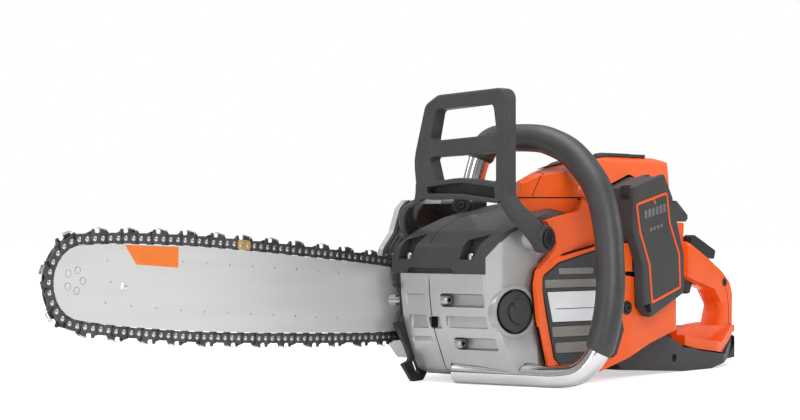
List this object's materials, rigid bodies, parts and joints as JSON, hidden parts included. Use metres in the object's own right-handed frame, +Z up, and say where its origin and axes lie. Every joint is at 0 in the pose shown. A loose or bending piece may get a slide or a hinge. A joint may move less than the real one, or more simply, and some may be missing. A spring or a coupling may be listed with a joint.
{
  "type": "battery chainsaw",
  "caption": "Battery chainsaw with guide bar and saw chain, wrap-around front handle with hand guard, rear handle with trigger, side battery pack and oil filler cap.",
  "frame": {"origin": "on the ground, below the middle of the saw's bounding box", "axes": "+X runs from the bar's nose towards the rear handle, +Y towards the bar side (the user's right), +Z up; the user faces -X"},
  "size_m": [0.8263, 0.2444, 0.2562],
  "materials": {
    "bright_steel": "ground",
    "cast_magnesium": "cast, lightly speckled",
    "chromed_tube": "polished",
    "circuit_board": "coated board",
    "copper_winding": "enamelled wire on steel laminations",
    "dark_plastic": "fine-grained moulded nylon",
    "dark_steel": "blued",
    "grip_rubber": "satin",
    "orange_plastic": "satin moulded nylon",
    "tank_nylon": "translucent nylon"
  },
  "bodies": {
    "saw": {"bar_nut_front": "bright_steel", "bar_nut_rear": "bright_steel", "bar_stud_front": "bright_steel", "bar_stud_rear": "bright_steel", "battery_connector": "copper_winding", "bearing_left": "bright_steel", "bearing_right": "bright_steel", "bottom_tray": "dark_plastic", "brake_band": "dark_steel", "brake_spring": "bright_steel", "cap_insert": "dark_plastic", "case_screw_lower": "bright_steel", "case_screw_upper": "bright_steel", "chain_catcher": "bright_steel", "clutch_cover": "cast_magnesium", "control_board": "circuit_board", "cover_screw_left": "bright_steel", "cover_screw_right": "bright_steel", "crankcase_left": "cast_magnesium", "crankcase_right": "cast_magnesium", "damper_spring": "bright_steel", "felling_spikes": "dark_steel", "front_handle": "chromed_tube", "guard_bolt": "dark_steel", "guide_bar": "bright_steel", "handle_clamp": "dark_plastic", "handle_grip": "grip_rubber", "heel": "dark_plastic", "keypad": "dark_plastic", "main_housing": "orange_plastic", "motor_stator": "copper_winding", "oil_pump": "bright_steel", "oil_tank": "tank_nylon", "rear_handle": "orange_plastic", "right_cover": "dark_plastic", "saw_chain": "dark_steel", "tensioner_pin": "bright_steel", "top_cover": "dark_plastic", "trigger_pin": "bright_steel", "trigger_spring": "bright_steel", "upper_cap": "orange_plastic", "vent_panel": "dark_plastic"},
    "drive": {"motor_shaft": "bright_steel", "motor_rotor": "dark_steel", "cooling_fan": "dark_plastic", "pump_worm": "tank_nylon", "rim_sprocket": "bright_steel", "brake_drum": "dark_steel"},
    "nose_wheel": {"nose_sprocket": "bright_steel"},
    "guard": {"hand_guard": "dark_plastic"},
    "trigger": {"throttle_trigger": "dark_plastic"},
    "lock": {"throttle_lock": "dark_plastic"},
    "battery": {"battery_case": "dark_plastic", "battery_face": "dark_plastic", "battery_trim": "orange_plastic"},
    "battery_button": {"battery_release": "orange_plastic"},
    "power_key": {"power_button": "dark_plastic"},
    "mode_key": {"mode_button": "dark_plastic"},
    "filler_cap": {"oil_cap": "dark_plastic"},
    "cap_tab": {"oil_cap_tab": "dark_plastic"}
  },
  "joints": [
    {"name": "drive_spin", "type": "hinge", "parent": "saw", "child": "drive", "pos_m": [0.07, 0.0114, 0.0687], "axis": [0, 1, 0], "continuous": true},
    {"name": "nose_spin", "type": "hinge", "parent": "saw", "child": "nose_wheel", "pos_m": [-0.37285, 0.0894, 0.0961], "axis": [0, 1, 0], "continuous": true},
    {"name": "guard_tilt", "type": "hinge", "parent": "saw", "child": "guard", "pos_m": [0.025, 0.0114, 0.128], "axis": [0, -1, 0], "range_deg": [0, 22]},
    {"name": "trigger_pull", "type": "hinge", "parent": "saw", "child": "trigger", "pos_m": [0.3125, -0.0106, 0.092], "axis": [0, -1, 0], "range_deg": [0, 10], "stiffness_Nm_per_rad": 0.1, "springref_deg": -17.19},
    {"name": "lock_press", "type": "hinge", "parent": "saw", "child": "lock", "pos_m": [0.328, -0.0106, 0.112], "axis": [0, 1, 0], "range_deg": [0, 7], "stiffness_Nm_per_rad": 0.1, "springref_deg": -17.19},
    {"name": "battery_slide", "type": "slide", "parent": "saw", "child": "battery", "axis": [0, -1, 0], "range_m": [0, 0.11]},
    {"name": "release_push", "type": "slide", "parent": "battery", "child": "battery_button", "axis": [1, 0, 0], "range_m": [0, 0.0022], "stiffness_N_per_m": 400, "springref_m": -0.003},
    {"name": "power_press", "type": "slide", "parent": "saw", "child": "power_key", "axis": [-0.5678, 0, -0.8231], "range_m": [0, 0.0015], "stiffness_N_per_m": 300, "springref_m": -0.002},
    {"name": "mode_press", "type": "slide", "parent": "saw", "child": "mode_key", "axis": [-0.5678, 0, -0.8231], "range_m": [0, 0.0015], "stiffness_N_per_m": 300, "springref_m": -0.002},
    {"name": "cap_turn", "type": "hinge", "parent": "saw", "child": "filler_cap", "pos_m": [0.0075, -0.036, 0.0655], "axis": [-0.309, -0.9511, 0], "range_deg": [0, 90]},
    {"name": "tab_fold", "type": "hinge", "parent": "filler_cap", "child": "cap_tab", "pos_m": [0.00483, -0.03776, 0.0655], "axis": [0, 0, 1], "range_deg": [0, 90]}
  ],
  "couplings": [
    {"joint": "nose_spin", "follows": "drive_spin", "ratio": 0.58333}
  ]
}
